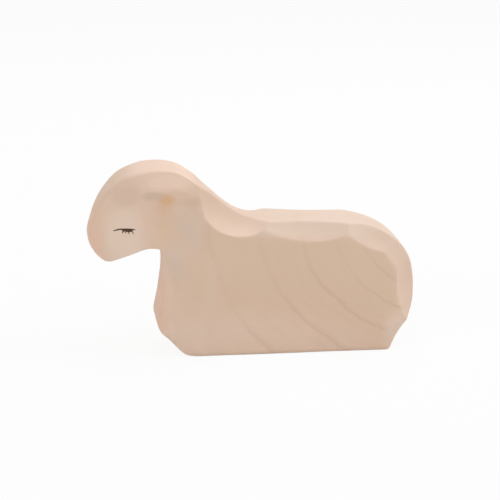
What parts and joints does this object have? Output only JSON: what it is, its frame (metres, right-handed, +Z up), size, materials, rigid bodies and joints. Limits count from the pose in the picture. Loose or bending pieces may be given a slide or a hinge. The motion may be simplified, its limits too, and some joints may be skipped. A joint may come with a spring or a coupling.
{
  "type": "sheep figurine",
  "caption": "Small lying sheep carved with knife bevels from one board of pale wood, with a closed eye painted on each cheek.",
  "frame": {"origin": "middle of the bounding box, on the surface the sheep lies on", "axes": "+X from the muzzle to the rump, +Y from the sheep's left to its right, +Z up"},
  "size_m": [0.1098, 0.026, 0.0636],
  "materials": {
    "pale_wood": "bare pale maple, knife cut and lightly sanded",
    "eye_paint": "thin dark brown paint strokes, matte"
  },
  "bodies": {
    "root": {"wooden_body": "pale_wood", "left_eyelid_line": "eye_paint", "left_lashes": "eye_paint", "right_eyelid_line": "eye_paint", "right_lashes": "eye_paint"}
  },
  "joints": []
}
